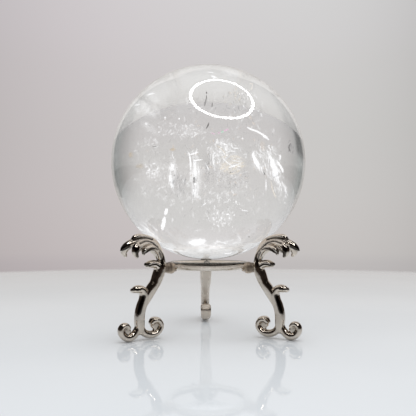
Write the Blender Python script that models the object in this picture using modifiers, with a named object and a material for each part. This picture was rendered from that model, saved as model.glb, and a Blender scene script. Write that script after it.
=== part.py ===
# Crystal ball on a three-legged leaf stand: ball, support ring, and a leg, a collar
# and a fixing screw at each of three places round the ring.
# Metres, +Z up.  Origin: on the vertical axis, at the plane the feet rest on.
# The back leg points along +Y, the other two 120 degrees either side of it.
# Each leg, collar and screw is shaped once in the leg's own plane, where x is the radius
# from the axis, y the offset from the plane and z the height, then turned into place.
import math

import bmesh
import bpy
from mathutils import Matrix, Vector

MM = 0.001               # all dimensions below are in millimetres

# ---------------------------------------------------------------- dimensions
GAP = 0.30               # clearance between neighbouring pieces

BALL_R = 40.0
BALL_Z = 69.2            # height of the ball's centre
SEAT_GAP = 0.30          # clearance between the ball and the leaves

RING_R = 15.6            # to the centre of the wire
RING_WIRE_R = 1.6
RING_Z = 26.9            # also the height of the collars, bosses and screws

COLLAR_R = 2.75
COLLAR_IN = 16.1         # inner end before the saddle cut
COLLAR_OUT = 19.15       # outer end
COLLAR_TOP = 1.7         # flat top above the wire centre

BOSS_R = 2.30            # boss on the leg
BOSS_IN = COLLAR_OUT + GAP
BOSS_OUT = 21.6

SPOT_FACE_X = 14.30      # flat for the screw head on the inside of the ring
SCREW_R = 0.75           # shank radius
SCREW_TIP = 21.6         # end of the screw, inside the leg
HEAD_R = 1.40            # pan head
HEAD_H = 1.00
HEAD_OUT = SPOT_FACE_X - GAP
HEAD_IN = HEAD_OUT - HEAD_H
HEAD_EDGE = 0.3          # bevel on the head
SHANK_OVERLAP = 0.2      # length of shank sunk in the head
SLOT_W = 0.4             # driver slot
SLOT_D = 0.4
SLOT_CUT_LENGTH = 6      # longer than the head is wide

HOLE_R = SCREW_R + GAP
HOLE_END = SCREW_TIP + GAP
CUT_START = 10.0         # radial cuts start here, clear inside the ring

# Trimming boxes: centre along the radius, and size
FLOOR_CUT_X = 30
FLOOR_CUT_SIZE = (40, 20, 10)
FLAT_CUT_X = 17
FLAT_CUT_SIZE = (20, 20, 10)

# Fusing the bars into one casting
VOXEL = 0.3              # cell size
KEPT_FACES = 0.06        # share of the faces kept afterwards

LEG_ANGLES = {"back": 90.0, "left": 210.0, "right": 330.0}

# ------------------------------------------------------------------ leg paths
PATH_STEPS = 3           # points made from each span between stations

# Paths in the leg's plane: (radius from the axis, height, half thickness)
LOWER_STEM = [
    (30.08, 3.5, 1.31), (30.37, 5.84, 1.75), (30.42, 8.18, 1.85), (30.13, 10.51, 1.85),
    (29.5, 12.66, 1.85), (28.91, 14.99, 1.75), (29.11, 17.13, 1.56), (30.28, 18.5, 1.46),
    (31.64, 18.59, 1.36), (32.9, 18.4, 0.97), (33.78, 18.3, 0.44)]
UPPER_STEM = [
    (28.82, 12.85, 1.51), (27.84, 14.99, 1.7), (26.28, 17.52, 1.75), (24.75, 19.66, 1.75),
    (23.4, 22.2, 1.9), (22.4, 24.73, 2.0), (21.8, 27.26, 1.85), (21.6, 29.59, 1.45),
    (21.9, 31.54, 1.17), (22.68, 33.49, 0.88)]
BUD = [
    (22.78, 23.95, 1.27), (22.88, 26.28, 1.56), (24.14, 27.55, 1.65), (25.7, 27.74, 1.56),
    (27.16, 27.65, 1.07), (28.33, 27.55, 0.44)]
INNER_SCROLL = [
    (30.28, 6.04, 1.27), (29.59, 3.89, 1.36), (28.13, 2.24, 1.41), (25.99, 1.61, 1.36),
    (23.85, 1.95, 1.27), (22.29, 3.41, 1.17), (22, 5.16, 1.12), (23.07, 6.72, 1.12),
    (24.73, 6.81, 1.17), (25.51, 6.04, 0.97)]
OUTER_SCROLL = [
    (30.37, 6.23, 1.27), (31.15, 4.09, 1.36), (32.51, 2.24, 1.41), (34.27, 1.12, 1.46),
    (36.21, 1.46, 1.27), (37.48, 3.02, 1.17), (37.72, 4.67, 1.07), (36.9, 5.84, 1.02),
    (35.53, 5.94, 0.97), (34.56, 5.06, 0.78)]
CREST = [
    (21.75, 30.9, 1.2), (22.3, 33.5, 1.2), (23.3, 35.7, 1.2), (24.8, 37.25, 1.2),
    (26.6, 38.15, 1.1), (28.8, 38.5, 1.0), (31.15, 38.45, 1.02), (33.1, 37.87, 0.92),
    (33.98, 37.38, 0.49)]
TIP_LOBE = [
    (22.1, 30.76, 1.17), (23.36, 33.68, 1.27), (25.12, 35.63, 1.36), (27.16, 36.6, 1.46),
    (29.4, 36.99, 1.46), (31.74, 36.7, 1.46), (33.98, 35.92, 1.46), (35.92, 34.95, 1.41),
    (37.29, 33.88, 0.97), (38.06, 33, 0.44)]

# Paired leaf lobes: (radius, height, offset from the leg's plane, half thickness)
SIDE_LOBE = [
    (22.59, 31.35, 0.68, 1.07), (24.24, 34.07, 1.17, 1.17), (26.28, 35.63, 1.95, 1.27),
    (28.52, 36.02, 2.73, 1.27), (30.76, 35.82, 3.6, 1.36), (32.9, 35.05, 4.48, 1.51),
    (34.36, 33.68, 5.06, 1.56), (34.66, 32.13, 5.35, 1.17), (33.98, 30.76, 5.35, 0.49)]
LOW_LOBE = [
    (22.29, 30.18, 0.88, 1.07), (23.66, 32.32, 1.75, 1.12), (25.51, 33.68, 2.63, 1.17),
    (27.65, 33.98, 3.41, 1.17), (29.5, 33.59, 3.99, 1.27), (30.76, 32.71, 4.28, 1.17),
    (31.05, 31.54, 4.28, 0.49)]

# Stem width: (height, half width across the leg's plane)
STEM_WIDTHS = [
    (0.0, 1.75), (6.0, 1.7), (9.5, 1.75), (14.0, 2.25), (19.0, 2.7),
    (26.0, 2.85), (29.0, 2.85), (32.0, 2.3), (35.0, 1.6), (60.0, 1.2)]
STEM_HALF = 1.8          # half thickness at which a stem has exactly the table's width

BUD_WIDEN = 1.35         # width of a bar over its thickness
SCROLL_WIDEN = 1.25
# The inner scroll widens further with height and towards the axis
CURL_EXTRA = 0.75        # most that is added to SCROLL_WIDEN
CURL_Z = 2.5             # height where it begins, and the rise it takes
CURL_RISE = 4.0
CURL_X = 28.0            # radius where it begins, and the distance inwards it takes
CURL_RUN = 3.0

METAL = (0.72, 0.70, 0.67, 1.0)
QUARTZ = (0.93, 0.94, 0.95, 1.0)


# ------------------------------------------------------------- scene helpers
def clear_scene():
    for obj in list(bpy.data.objects):
        bpy.data.objects.remove(obj, do_unlink=True)


def collection(name):
    col = bpy.data.collections.new(name)
    bpy.context.scene.collection.children.link(col)
    return col


def material(name, colour, rough, metallic=0.0, transmission=0.0, ior=1.45):
    mat = bpy.data.materials.new(name)
    mat.use_nodes = True
    inputs = mat.node_tree.nodes["Principled BSDF"].inputs
    inputs["Base Color"].default_value = colour
    inputs["Roughness"].default_value = rough
    inputs["Metallic"].default_value = metallic
    inputs["Transmission Weight"].default_value = transmission
    inputs["IOR"].default_value = ior
    mat.diffuse_color = colour
    return mat


def smooth(obj):
    for poly in obj.data.polygons:
        poly.use_smooth = True


def bake(obj):
    """Move the object's transform into its mesh."""
    bpy.context.view_layer.update()
    obj.data.transform(obj.matrix_world)
    obj.matrix_world = Matrix.Identity(4)


def place(name, mesh, degrees, col):
    """A copy of the mesh, turned round the vertical axis."""
    obj = bpy.data.objects.new(name, mesh.copy())
    obj.rotation_euler = (0, 0, math.radians(degrees))
    col.objects.link(obj)
    return obj


# ---------------------------------------------------------------- primitives
def adopt(name, col):
    """Name the primitive just added and move it to the collection."""
    obj = bpy.context.active_object
    obj.name = name
    for old in list(obj.users_collection):
        old.objects.unlink(obj)
    col.objects.link(obj)
    return obj


def ball_sphere(name, radius, segments, rings, col):
    """Sphere on the ball's centre."""
    bpy.ops.mesh.primitive_uv_sphere_add(segments=segments, ring_count=rings,
                                         radius=radius * MM, location=(0, 0, BALL_Z * MM))
    return adopt(name, col)


def ring_torus(name, wire_radius, major_segments, minor_segments, col):
    """Torus on the ring's centre line."""
    bpy.ops.mesh.primitive_torus_add(major_radius=RING_R * MM, minor_radius=wire_radius * MM,
                                     major_segments=major_segments,
                                     minor_segments=minor_segments,
                                     location=(0, 0, RING_Z * MM))
    return adopt(name, col)


def radial_cylinder(name, start, end, radius, segments, col):
    """Cylinder along the leg's radial direction, at the ring's height."""
    bpy.ops.mesh.primitive_cylinder_add(vertices=segments, radius=radius * MM,
                                        depth=(end - start) * MM,
                                        location=((start + end) / 2 * MM, 0, RING_Z * MM),
                                        rotation=(0, math.pi / 2, 0))
    obj = adopt(name, col)
    bake(obj)
    return obj


def box(name, x, z, size, col):
    """Box centred on the leg's plane."""
    bpy.ops.mesh.primitive_cube_add(size=1, location=(x * MM, 0, z * MM))
    obj = adopt(name, col)
    obj.scale = [length * MM for length in size]
    bake(obj)
    return obj


def screw_hole(col):
    return radial_cylinder("hole", CUT_START, HOLE_END, HOLE_R, 20, col)


# ------------------------------------------------------------- mesh editing
def apply_modifiers(target):
    bpy.context.view_layer.update()
    graph = bpy.context.evaluated_depsgraph_get()
    mesh = bpy.data.meshes.new_from_object(target.evaluated_get(graph))
    target.modifiers.clear()
    old = target.data
    target.data = mesh
    bpy.data.meshes.remove(old)


def add_boolean(target, tool, operation, name):
    mod = target.modifiers.new(name, "BOOLEAN")
    mod.operation = operation
    mod.solver = "EXACT"
    mod.object = tool


def apply_boolean(target, tool, operation):
    """Apply the boolean and discard the tool."""
    add_boolean(target, tool, operation, operation.lower())
    apply_modifiers(target)
    bpy.data.objects.remove(tool, do_unlink=True)


def tidy(obj, dist):
    """Merge the close vertices and slivers left by the booleans."""
    bm = bmesh.new()
    bm.from_mesh(obj.data)
    bmesh.ops.remove_doubles(bm, verts=bm.verts, dist=dist * MM)
    bmesh.ops.dissolve_degenerate(bm, edges=bm.edges, dist=dist * MM)
    bmesh.ops.recalc_face_normals(bm, faces=bm.faces)
    bm.to_mesh(obj.data)
    bm.free()


# ---------------------------------------------------------------- cast bars
def spline_points(stations):
    """Catmull-Rom interpolation through the stations."""
    pts = [Vector(station) for station in stations]
    pts = [pts[0] * 2 - pts[1]] + pts + [pts[-1] * 2 - pts[-2]]
    out = []
    for before, start, end, after in zip(pts, pts[1:], pts[2:], pts[3:]):
        for k in range(PATH_STEPS):
            t = k / PATH_STEPS
            out.append(0.5 * ((2 * start) + (end - before) * t
                              + (2 * before - 5 * start + 4 * end - after) * t * t
                              + (3 * start - 3 * end + after - before) * t ** 3))
    out.append(pts[-2])
    return out


def bar_curve(name, path, col):
    """Tapered round bar through (radius, height, offset, half thickness) stations."""
    data = bpy.data.curves.new(name, "CURVE")
    data.dimensions = "3D"
    data.bevel_depth = MM
    data.bevel_resolution = 2
    data.use_fill_caps = True
    data.twist_mode = "MINIMUM"
    pts = spline_points([(radius, offset, height, half)
                         for radius, height, offset, half in path])
    line = data.splines.new("POLY")
    line.points.add(len(pts) - 1)
    for spot, (x, y, z, half) in zip(line.points, pts):
        spot.co = (x * MM, y * MM, z * MM, 1.0)
        spot.radius = half
    obj = bpy.data.objects.new(name, data)
    col.objects.link(obj)
    return obj


def bar_mesh(name, path, widen, col):
    """Closed mesh of a bar; widen(x, z) scales the offset from the leg's plane."""
    curve = bar_curve(name, path, col)
    bpy.context.view_layer.update()
    graph = bpy.context.evaluated_depsgraph_get()
    mesh = bpy.data.meshes.new_from_object(curve.evaluated_get(graph))
    bpy.data.objects.remove(curve, do_unlink=True)
    bm = bmesh.new()
    bm.from_mesh(mesh)
    bmesh.ops.remove_doubles(bm, verts=bm.verts, dist=1e-6)
    if widen:
        for v in bm.verts:
            v.co.y *= widen(v.co.x / MM, v.co.z / MM)
    bmesh.ops.recalc_face_normals(bm, faces=bm.faces)
    bm.to_mesh(mesh)
    bm.free()
    return mesh


def stem_widen(x, z):
    for (z0, width0), (z1, width1) in zip(STEM_WIDTHS, STEM_WIDTHS[1:]):
        if z <= z1:
            t = max(0.0, (z - z0) / (z1 - z0))
            return (width0 + (width1 - width0) * t) / STEM_HALF
    return STEM_WIDTHS[-1][1] / STEM_HALF


def bud_widen(x, z):
    return BUD_WIDEN


def outer_scroll_widen(x, z):
    return SCROLL_WIDEN


def inner_scroll_widen(x, z):
    rise = max(0.0, min(1.0, (z - CURL_Z) / CURL_RISE))
    inward = max(0.0, min(1.0, (CURL_X - x) / CURL_RUN))
    return SCROLL_WIDEN + CURL_EXTRA * rise * inward


def flat_path(path):
    return [(radius, height, 0.0, half) for radius, height, half in path]


def side_path(path, side):
    return [(radius, height, side * offset, half) for radius, height, offset, half in path]


# ------------------------------------------------------------------- masters
def fused_bars(cutters):
    """The leg's bars, fused into one skin."""
    bars = [
        ("lower", flat_path(LOWER_STEM), stem_widen),
        ("upper", flat_path(UPPER_STEM), stem_widen),
        ("bud", flat_path(BUD), bud_widen),
        ("inner", flat_path(INNER_SCROLL), inner_scroll_widen),
        ("outer", flat_path(OUTER_SCROLL), outer_scroll_widen),
        ("crest", flat_path(CREST), None),
        ("tip", flat_path(TIP_LOBE), None),
        ("side_a", side_path(SIDE_LOBE, 1), None),
        ("side_b", side_path(SIDE_LOBE, -1), None),
        ("low_a", side_path(LOW_LOBE, 1), None),
        ("low_b", side_path(LOW_LOBE, -1), None),
    ]
    bm = bmesh.new()
    for name, path, widen in bars:
        bm.from_mesh(bar_mesh(name, path, widen, cutters))
    mesh = bpy.data.meshes.new("leg")
    bm.to_mesh(mesh)
    bm.free()
    leg = bpy.data.objects.new("leg", mesh)
    cutters.objects.link(leg)
    fuse = leg.modifiers.new("fuse", "REMESH")
    fuse.mode = "VOXEL"
    fuse.voxel_size = VOXEL * MM
    relax = leg.modifiers.new("relax", "SMOOTH")
    relax.factor = 0.5
    relax.iterations = 2
    thin = leg.modifiers.new("thin", "DECIMATE")
    thin.ratio = KEPT_FACES
    apply_modifiers(leg)
    return leg


def leg_master(cutters):
    """Leg with its boss, cut for the ball, the floor and the screw."""
    leg = fused_bars(cutters)
    boss = radial_cylinder("boss", BOSS_IN, BOSS_OUT, BOSS_R, 32, cutters)
    apply_boolean(leg, boss, "UNION")
    seat = ball_sphere("seat", BALL_R + SEAT_GAP, 96, 64, cutters)
    floor = box("floor", FLOOR_CUT_X, -FLOOR_CUT_SIZE[2] / 2, FLOOR_CUT_SIZE, cutters)
    for tool in (seat, floor, screw_hole(cutters)):
        apply_boolean(leg, tool, "DIFFERENCE")
    tidy(leg, 0.02)
    smooth(leg)
    return leg


def collar_master(cutters):
    """Collar with a flat top, saddled over the ring and bored for the screw."""
    collar = radial_cylinder("collar", COLLAR_IN, COLLAR_OUT, COLLAR_R, 32, cutters)
    saddle = ring_torus("saddle", RING_WIRE_R + GAP, 96, 32, cutters)
    bake(saddle)
    flat_top = box("flat_top", FLAT_CUT_X, RING_Z + COLLAR_TOP + FLAT_CUT_SIZE[2] / 2,
                   FLAT_CUT_SIZE, cutters)
    for tool in (flat_top, saddle, screw_hole(cutters)):
        apply_boolean(collar, tool, "DIFFERENCE")
    tidy(collar, 0.005)
    return collar


def screw_master(cutters):
    """Slotted pan-head screw, head towards the axis."""
    screw = radial_cylinder("screw", HEAD_OUT - SHANK_OVERLAP, SCREW_TIP, SCREW_R, 20, cutters)
    head = radial_cylinder("head", HEAD_IN, HEAD_OUT, HEAD_R, 24, cutters)
    bevel = head.modifiers.new("edge", "BEVEL")
    bevel.width = HEAD_EDGE * MM
    bevel.segments = 2
    bevel.limit_method = "ANGLE"
    apply_boolean(screw, head, "UNION")
    slot = box("slot", HEAD_IN, RING_Z, (2 * SLOT_D, SLOT_CUT_LENGTH, SLOT_W), cutters)
    apply_boolean(screw, slot, "DIFFERENCE")
    tidy(screw, 0.005)
    return screw


# -------------------------------------------------------------------- pieces
def build_ball(parts):
    ball = ball_sphere("crystal_ball", BALL_R, 48, 24, parts)
    smooth(ball)
    ball.data.materials.append(material("clear_quartz", QUARTZ, rough=0.02,
                                        transmission=1.0, ior=1.544))


def build_ring(parts, cutters):
    """Ring with live cuts for the three screw heads and shanks."""
    ring = ring_torus("support_ring", RING_WIRE_R, 60, 14, parts)
    smooth(ring)
    ring.data.materials.append(material("ring_metal", METAL, rough=0.12, metallic=1.0))
    spot_face = radial_cylinder("spot", CUT_START, SPOT_FACE_X, HEAD_R + GAP, 24, cutters)
    tools = (spot_face, screw_hole(cutters))
    for degrees in LEG_ANGLES.values():
        for tool in tools:
            cut = place("ring_cut", tool.data, degrees, cutters)
            cut.hide_render = True
            cut.display_type = "WIRE"
            add_boolean(ring, cut, "DIFFERENCE", "cut")
    for tool in tools:
        bpy.data.objects.remove(tool, do_unlink=True)


def build_three(kind, master, rough, parts):
    """Three of the master, turned round the axis, in place of the master."""
    for where, degrees in LEG_ANGLES.items():
        name = kind + "_" + where
        obj = place(name, master.data, degrees, parts)
        obj.data.materials.clear()
        obj.data.materials.append(material(name + "_metal", METAL, rough, metallic=1.0))
    bpy.data.objects.remove(master, do_unlink=True)


clear_scene()
parts = collection("crystal_ball_on_stand")
cutters = collection("cutters")
build_ball(parts)
build_ring(parts, cutters)
build_three("leg", leg_master(cutters), rough=0.14, parts=parts)
build_three("collar", collar_master(cutters), rough=0.2, parts=parts)
build_three("screw", screw_master(cutters), rough=0.25, parts=parts)
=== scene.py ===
import math
import random

import bmesh
import bpy
import numpy as np
from mathutils import Matrix, Vector


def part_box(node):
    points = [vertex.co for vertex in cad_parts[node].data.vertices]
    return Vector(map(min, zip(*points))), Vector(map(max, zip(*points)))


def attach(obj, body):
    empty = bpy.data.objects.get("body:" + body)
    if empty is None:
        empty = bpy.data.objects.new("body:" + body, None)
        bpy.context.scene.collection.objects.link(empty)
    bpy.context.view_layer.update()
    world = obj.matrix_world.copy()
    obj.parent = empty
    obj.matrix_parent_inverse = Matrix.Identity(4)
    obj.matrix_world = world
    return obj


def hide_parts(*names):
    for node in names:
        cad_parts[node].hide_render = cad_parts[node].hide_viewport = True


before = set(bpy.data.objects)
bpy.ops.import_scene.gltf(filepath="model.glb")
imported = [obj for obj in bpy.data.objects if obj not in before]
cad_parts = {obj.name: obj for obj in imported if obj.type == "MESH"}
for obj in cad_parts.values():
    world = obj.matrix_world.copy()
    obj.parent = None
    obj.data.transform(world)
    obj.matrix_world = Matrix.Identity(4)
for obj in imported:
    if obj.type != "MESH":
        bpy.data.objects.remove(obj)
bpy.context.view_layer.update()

MM = 0.001

# ------------------------------------------------------------ sizes from the CAD
ball_lo, ball_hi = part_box("crystal_ball")
BALL_R = (ball_hi.z - ball_lo.z) / 2
BALL_C = (ball_lo + ball_hi) / 2
ring_lo, ring_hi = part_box("support_ring")
WIRE_R = (ring_hi.z - ring_lo.z) / 2
RING_Z = (ring_hi.z + ring_lo.z) / 2
RING_R = (ring_hi.x - ring_lo.x) / 2 - WIRE_R
LEG_AZ = {"left": 210.0, "right": 330.0, "back": 90.0}

# the eye: distance from the axis, height, heading, upward tilt
CAM_AZ = math.radians(-2.85)
CAM_D, CAM_H = 0.1792, 0.0352
TILT = math.radians(4.9)
PAN = math.radians(0.04)
EYE = Vector((math.sin(CAM_AZ) * CAM_D, -math.cos(CAM_AZ) * CAM_D, CAM_H))

scene = bpy.context.scene
scene.view_settings.view_transform = "Standard"
scene.view_settings.look = "None"


def link(obj):
    scene.collection.objects.link(obj)
    return obj


def mesh_object(name, verts, faces, smooth=True):
    mesh = bpy.data.meshes.new(name)
    mesh.from_pydata([tuple(v) for v in verts], [], [tuple(f) for f in faces])
    mesh.validate()
    mesh.update()
    if smooth:
        mesh.polygons.foreach_set("use_smooth", [True] * len(mesh.polygons))
    return link(bpy.data.objects.new(name, mesh))


def apply_all(obj):
    bpy.context.view_layer.update()
    graph = bpy.context.evaluated_depsgraph_get()
    mesh = bpy.data.meshes.new_from_object(obj.evaluated_get(graph))
    obj.modifiers.clear()
    old = obj.data
    obj.data = mesh
    bpy.data.meshes.remove(old)
    return obj


# ------------------------------------------------------------------- node helpers
class Nodes:
    def __init__(self, tree):
        self.t = tree

    def new(self, kind, **props):
        n = self.t.nodes.new(kind)
        for k, v in props.items():
            setattr(n, k, v)
        return n

    def wire(self, a, b):
        self.t.links.new(a, b)

    def put(self, socket, value):
        if isinstance(value, bpy.types.NodeSocket):
            self.wire(value, socket)
        else:
            socket.default_value = value

    def math(self, op, a, b=None, c=None, clamp=False):
        n = self.new("ShaderNodeMath", operation=op, use_clamp=clamp)
        self.put(n.inputs[0], a)
        if b is not None:
            self.put(n.inputs[1], b)
        if c is not None:
            self.put(n.inputs[2], c)
        return n.outputs[0]

    def ramp(self, x, lo, hi, a=0.0, b=1.0, smooth=True):
        n = self.new("ShaderNodeMapRange", interpolation_type="SMOOTHSTEP" if smooth else "LINEAR")
        self.put(n.inputs["Value"], x)
        self.put(n.inputs["From Min"], lo)
        self.put(n.inputs["From Max"], hi)
        self.put(n.inputs["To Min"], a)
        self.put(n.inputs["To Max"], b)
        return n.outputs["Result"]

    def mix(self, fac, a, b):
        n = self.new("ShaderNodeMix", data_type="RGBA")
        self.put(n.inputs[0], fac)
        self.put(n.inputs[6], a)
        self.put(n.inputs[7], b)
        return n.outputs[2]

    def stops(self, x, lo, hi, table):
        """Colour against x: table holds (x, colour), in order."""
        n = self.new("ShaderNodeValToRGB")
        self.put(n.inputs[0], self.ramp(x, lo, hi, smooth=False))
        el = n.color_ramp.elements
        while len(el) < len(table):
            el.new(0.5)
        for e, (pos, colour) in zip(el, table):
            e.position = (pos - lo) / (hi - lo)
            e.color = colour
        return n.outputs["Color"]

    def scaled(self, colour, factor):
        n = self.new("ShaderNodeVectorMath", operation="SCALE")
        self.put(n.inputs[0], colour)
        self.put(n.inputs["Scale"], factor)
        return n.outputs[0]

    def times(self, a, b):
        n = self.new("ShaderNodeVectorMath", operation="MULTIPLY")
        self.put(n.inputs[0], a)
        self.put(n.inputs[1], b)
        return n.outputs[0]

    def plus(self, a, b):
        n = self.new("ShaderNodeVectorMath", operation="ADD")
        self.put(n.inputs[0], a)
        self.put(n.inputs[1], b)
        return n.outputs[0]

    def noise(self, vec, scale, detail=2.0, rough=0.5, dim="3D"):
        n = self.new("ShaderNodeTexNoise", noise_dimensions=dim)
        if vec is not None:
            self.wire(vec, n.inputs["Vector"])
        n.inputs["Scale"].default_value = scale
        n.inputs["Detail"].default_value = detail
        n.inputs["Roughness"].default_value = rough
        return n.outputs["Fac"]


def srgb(r, g=None, b=None, a=1.0):
    g = r if g is None else g
    b = r if b is None else b
    f = lambda c: (c / 255 / 12.92) if c / 255 <= 0.04045 else ((c / 255 + 0.055) / 1.055) ** 2.4
    return (f(r), f(g), f(b), a)


def new_material(name):
    mat = bpy.data.materials.new(name)
    mat.use_nodes = True
    return mat, Nodes(mat.node_tree), mat.node_tree.nodes["Principled BSDF"]


# ---------------------------------------------------------------- swept bars
def catmull(ctrl, steps):
    p = np.array(ctrl, float)
    p = np.vstack([2 * p[0] - p[1], p, 2 * p[-1] - p[-2]])
    out = []
    for i in range(1, len(p) - 2):
        a, b, c, d = p[i - 1], p[i], p[i + 1], p[i + 2]
        for k in range(steps):
            t = k / steps
            out.append(0.5 * (2 * b + (c - a) * t + (2 * a - 5 * b + 4 * c - d) * t * t
                              + (3 * b - 3 * c + d - a) * t ** 3))
    out.append(p[-2])
    return np.array(out)


def sweep(ctrl, power=2.0, steps=8, sides=32, power_end=None):
    """Closed bar in the leg's plane. Each control point is (radius, height, offset, half
    thickness in the plane, half width across it). power 2 is an ellipse, more is squarer."""
    p = catmull(ctrl, steps)
    xyz = np.stack([p[:, 0], p[:, 2], p[:, 1]], 1)
    a, b = np.maximum(p[:, 3], 0.05), np.maximum(p[:, 4], 0.05)
    tan = np.gradient(xyz, axis=0)
    tan /= np.linalg.norm(tan, axis=1)[:, None]
    across = np.array([0.0, 1.0, 0.0])[None] - tan[:, 1:2] * tan
    across /= np.linalg.norm(across, axis=1)[:, None]
    normal = np.cross(across, tan)
    pw = np.full(len(p), power)
    if power_end is not None:
        pw = np.linspace(power, power_end, len(p))
    ang = np.arange(sides) / sides * 2 * math.pi
    c, s = np.cos(ang), np.sin(ang)
    rings = []

    def ring(i, scale, shift):
        e = 2.0 / pw[i]
        u = np.sign(c) * np.abs(c) ** e * a[i] * scale
        v = np.sign(s) * np.abs(s) ** e * b[i] * scale
        return xyz[i] + tan[i] * shift + normal[i] * u[:, None] + across[i] * v[:, None]

    caps = 5
    for k in range(caps):
        t = math.radians(90 * (k + 0.5) / caps)
        rings.append(ring(0, math.sin(t), -min(a[0], b[0]) * math.cos(t)))
    for i in range(len(p)):
        rings.append(ring(i, 1.0, 0.0))
    for k in reversed(range(caps)):
        t = math.radians(90 * (k + 0.5) / caps)
        rings.append(ring(len(p) - 1, math.sin(t), min(a[-1], b[-1]) * math.cos(t)))
    verts = np.vstack(rings)
    n = len(rings)
    faces = []
    for i in range(n - 1):
        for j in range(sides):
            k = (j + 1) % sides
            faces.append((i * sides + j, i * sides + k, (i + 1) * sides + k, (i + 1) * sides + j))
    faces.append(tuple(reversed(range(sides))))
    faces.append(tuple((n - 1) * sides + j for j in range(sides)))
    return verts, faces


def join(bars):
    verts, faces, base = [], [], 0
    for v, f in bars:
        verts.append(v)
        faces += [tuple(i + base for i in face) for face in f]
        base += len(v)
    return np.vstack(verts), faces


def mirrored(ctrl):
    return [(r, z, -w, a, b) for r, z, w, a, b in ctrl]


# ------------------------------------------------------------------------ the leg
# (radius, height, offset from the leg's plane, half thickness, half width), mm
LOWER = [(30.18, 3.12, 0, 1.27, 1.7), (30.37, 5.45, 0, 1.7, 1.9),
         (30.47, 7.79, 0, 1.8, 1.95), (30.28, 10.12, 0, 1.8, 2.0), (29.69, 12.46, 0, 1.8, 2.05),
         (28.91, 14.6, 0, 1.7, 2.14), (28.72, 16.55, 0, 1.56, 2.24),
         (29.4, 18.2, 0, 1.46, 2.24), (30.76, 18.79, 0, 1.46, 2.14),
         (32.2, 18.6, 0, 1.4, 1.85), (33.2, 18.35, 0, 1.0, 1.4)]
UPPER = [(29.79, 11.2, 0, 1.07, 1.46), (28.62, 13.63, 0, 1.46, 1.85),
         (27.26, 16.16, 0, 1.75, 2.24), (25.7, 18.69, 0, 1.8, 2.53),
         (24.05, 21.03, 0, 1.76, 2.63), (23.1, 23.36, 0, 1.96, 2.73),
         (22.35, 25.51, 0, 1.95, 2.73), (21.95, 27.45, 0, 1.75, 2.63),
         (21.9, 29.59, 0, 1.31, 2.24), (22.29, 31.74, 0, 1.17, 1.95),
         (23.27, 33.88, 0, 0.88, 1.46)]
BUD = [(22.97, 23.95, 0, 1.27, 1.95), (22.78, 25.9, 0, 1.56, 2.34),
       (23.66, 27.45, 0, 1.61, 2.43), (25.31, 27.99, 0, 1.56, 2.24),
       (26.77, 27.84, 0, 1.4, 1.95), (27.75, 27.7, 0, 1.0, 1.45)]
INNER = [(30.28, 6.23, 0, 1.17, 1.56), (29.69, 4.09, 0, 1.31, 1.65),
         (28.33, 2.43, 0, 1.36, 1.75), (26.09, 1.7, 0, 1.36, 1.95),
         (23.85, 2.04, 0, 1.27, 2.14), (22.29, 3.5, 0, 1.12, 2.34), (22, 5.16, 0, 1.07, 2.39),
         (23.07, 6.72, 0, 1.12, 2.39), (24.73, 6.81, 0, 1.12, 2.24),
         (25.6, 5.94, 0, 0.88, 1.85)]
INNER_EYE = [(22.0, 4.75, 0, 0.7, 1.0), (22.7, 4.75, 0, 1.75, 1.05), (23.7, 4.75, 0, 2.05, 1.05),
             (24.6, 4.75, 0, 1.75, 1.05), (25.2, 4.75, 0, 0.7, 1.0)]
OUTER = [(30.37, 6.23, 0, 1.17, 1.56), (31.15, 4.09, 0, 1.31, 1.61),
         (32.51, 2.29, 0, 1.41, 1.65), (34.27, 1.41, 0, 1.41, 1.7),
         (36.12, 1.75, 0, 1.27, 1.7), (37.38, 3.12, 0, 1.17, 1.65),
         (37.63, 4.67, 0, 1.07, 1.61), (36.8, 5.79, 0, 1.02, 1.56),
         (35.53, 5.84, 0, 0.92, 1.46), (34.66, 5.06, 0, 0.73, 1.27)]
OUTER_EYE = [(34.4, 3.8, 0, 0.6, 0.95), (35.0, 3.8, 0, 1.4, 1.0), (35.7, 3.8, 0, 1.7, 1.0),
             (36.4, 3.8, 0, 1.4, 1.0), (36.9, 3.8, 0, 0.6, 0.95)]
CREST = [(21.71, 29.79, 0, 1.07, 1.56), (22.29, 32.51, 0, 1.07, 1.46),
         (23.36, 34.95, 0, 0.97, 1.36), (24.92, 36.7, 0, 0.92, 1.31),
         (26.77, 37.77, 0, 0.88, 1.31), (28.91, 38.36, 0, 0.88, 1.31),
         (31.15, 38.45, 0, 1.02, 1.36), (32.9, 37.97, 0, 0.92, 1.17),
         (33.78, 37.38, 0, 0.49, 0.78)]
TIP = [(22.1, 29.79, 0, 1.07, 1.75), (23.36, 33.49, 0, 1.17, 1.95),
       (25.12, 35.53, 0, 1.27, 2.14), (27.16, 36.6, 0, 1.31, 2.24),
       (29.4, 36.99, 0, 1.36, 2.24), (31.74, 36.8, 0, 1.41, 2.14),
       (33.98, 36.02, 0, 1.46, 2.04), (35.92, 34.95, 0, 1.36, 1.85),
       (37.29, 33.88, 0, 0.97, 1.36), (37.97, 33.1, 0, 0.49, 0.78)]
SIDE = [(22.59, 30.37, 0.78, 1.07, 1.07), (24.05, 33.49, 1.17, 1.07, 1.17),
        (26.09, 35.34, 1.95, 1.07, 1.27), (28.43, 36.02, 2.73, 1.07, 1.27),
        (30.76, 35.92, 3.6, 1.27, 1.36), (32.81, 35.24, 4.48, 1.51, 1.46),
        (34.27, 33.98, 5.06, 1.56, 1.46), (34.75, 32.32, 5.35, 1.27, 1.27),
        (34.17, 30.96, 5.45, 0.68, 0.78)]
LOW = [(22.29, 29.79, 0.88, 1.07, 1.07), (23.56, 32.13, 1.75, 1.07, 1.07),
       (25.51, 33.68, 2.63, 1.07, 1.12), (27.65, 34.07, 3.41, 1.12, 1.17),
       (29.5, 33.68, 3.99, 1.22, 1.22), (30.76, 32.81, 4.28, 1.12, 1.07),
       (31.15, 31.83, 4.38, 0.58, 0.68)]
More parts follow.
